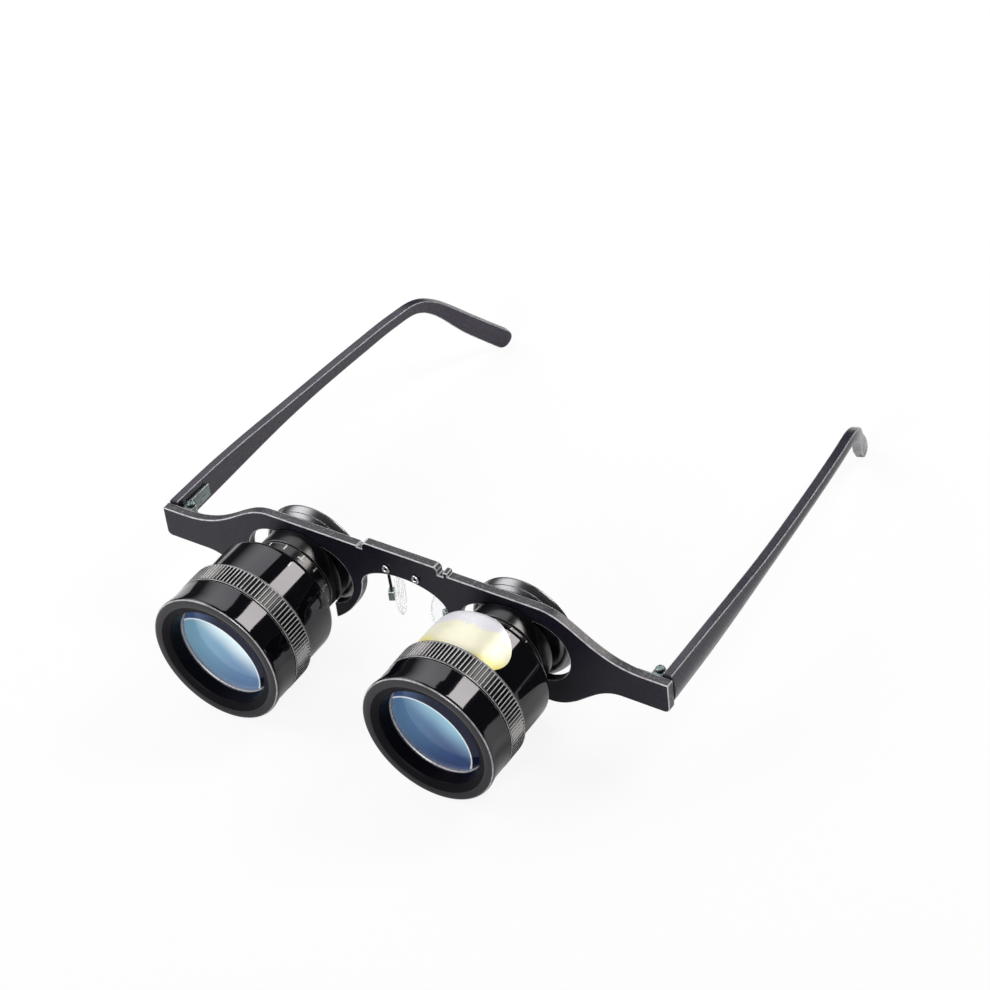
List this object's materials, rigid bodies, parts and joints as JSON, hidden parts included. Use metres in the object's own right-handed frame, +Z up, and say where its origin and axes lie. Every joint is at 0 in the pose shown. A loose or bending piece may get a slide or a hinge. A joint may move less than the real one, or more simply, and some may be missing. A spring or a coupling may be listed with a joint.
{
  "type": "binocular glasses",
  "caption": "Spectacle frame with folding temples and riveted nose pads, carrying small focusing telescopes with blue-coated objectives that slide to suit the eye distance.",
  "frame": {"origin": "middle of the bounding box at ground level, with the glasses standing on the two front rims and the two temple tips", "axes": "+Z up, -Y the way the telescopes look, +Y towards the temple tips, X across the face; left is -X, the left side as seen from the front"},
  "size_m": [0.1592, 0.1882, 0.0398],
  "materials": {
    "frame_plastic": "satin black",
    "temple_plastic": "satin dark grey",
    "barrel_plastic": "glossy black",
    "neck_plastic": "satin black",
    "eyepiece_plastic": "glossy dark grey",
    "coated_glass": "blue anti-glare coating",
    "ocular_glass": "clear",
    "steel": "bright",
    "clear_silicone": "clear, shown pale",
    "label_foil": "pale gold, blank"
  },
  "bodies": {
    "frame": {"front_frame": "frame_plastic", "left_frame_hinge_leaf": "steel", "right_frame_hinge_leaf": "steel", "left_hinge_screw": "steel", "right_hinge_screw": "steel", "nose_bracket": "steel", "left_rivet": "steel", "right_rivet": "steel", "left_nose_arm": "steel", "right_nose_arm": "steel", "left_pad_box": "steel", "right_pad_box": "steel"},
    "left_temple": {"left_temple": "temple_plastic", "left_temple_hinge_leaf": "steel"},
    "right_temple": {"right_temple": "temple_plastic", "right_temple_hinge_leaf": "steel"},
    "left_telescope": {"left_telescope_tube": "neck_plastic", "left_eyepiece_housing": "eyepiece_plastic", "left_eyecup": "eyepiece_plastic", "left_ocular_lens": "ocular_glass"},
    "right_telescope": {"right_telescope_tube": "neck_plastic", "right_eyepiece_housing": "eyepiece_plastic", "right_eyecup": "eyepiece_plastic", "right_ocular_lens": "ocular_glass"},
    "left_objective": {"left_objective_lens": "coated_glass", "left_lens_ring": "barrel_plastic"},
    "right_objective": {"right_objective_lens": "coated_glass", "right_lens_ring": "barrel_plastic"},
    "left_focus_ring": {"left_focus_drum": "barrel_plastic", "left_front_cap": "barrel_plastic"},
    "right_focus_ring": {"right_focus_drum": "barrel_plastic", "right_front_cap": "barrel_plastic", "right_oval_label": "label_foil"},
    "left_nose_pad": {"left_nose_pad": "clear_silicone"},
    "right_nose_pad": {"right_nose_pad": "clear_silicone"}
  },
  "joints": [
    {"name": "left_temple_fold", "type": "hinge", "parent": "frame", "child": "left_temple", "pos_m": [-0.0742, -0.04674, 0.02289], "axis": [0, 0.0736, -0.9973], "range_deg": [0, 84]},
    {"name": "right_temple_fold", "type": "hinge", "parent": "frame", "child": "right_temple", "pos_m": [0.0742, -0.04674, 0.02289], "axis": [0, -0.0736, 0.9973], "range_deg": [0, 75]},
    {"name": "left_eye_distance", "type": "slide", "parent": "frame", "child": "left_telescope", "axis": [-1, 0, 0], "range_m": [-0.006, 0.0075]},
    {"name": "right_eye_distance", "type": "slide", "parent": "frame", "child": "right_telescope", "axis": [1, 0, 0], "range_m": [-0.006, 0.0075]},
    {"name": "left_focus_travel", "type": "slide", "parent": "left_telescope", "child": "left_objective", "axis": [0, -0.9973, -0.0736], "range_m": [-0.00151, 0.00151]},
    {"name": "right_focus_travel", "type": "slide", "parent": "right_telescope", "child": "right_objective", "axis": [0, -0.9973, -0.0736], "range_m": [-0.00151, 0.00151]},
    {"name": "left_focus_turn", "type": "hinge", "parent": "left_objective", "child": "left_focus_ring", "pos_m": [-0.033, -0.07227, 0.021], "axis": [0, -0.9973, -0.0736], "range_deg": [-180, 180]},
    {"name": "right_focus_turn", "type": "hinge", "parent": "right_objective", "child": "right_focus_ring", "pos_m": [0.033, -0.07227, 0.021], "axis": [0, -0.9973, -0.0736], "range_deg": [-180, 180]},
    {"name": "left_pad_rock", "type": "hinge", "parent": "frame", "child": "left_nose_pad", "pos_m": [-0.0089, -0.04598, 0.01793], "axis": [0, -0.0736, 0.9973], "range_deg": [-8, 8]},
    {"name": "right_pad_rock", "type": "hinge", "parent": "frame", "child": "right_nose_pad", "pos_m": [0.0089, -0.04598, 0.01793], "axis": [0, -0.0736, 0.9973], "range_deg": [-8, 8]}
  ],
  "couplings": [
    {"joint": "left_focus_travel", "follows": "left_focus_turn", "m_per_rad": 0.00047746},
    {"joint": "right_focus_travel", "follows": "right_focus_turn", "m_per_rad": 0.00047746}
  ]
}
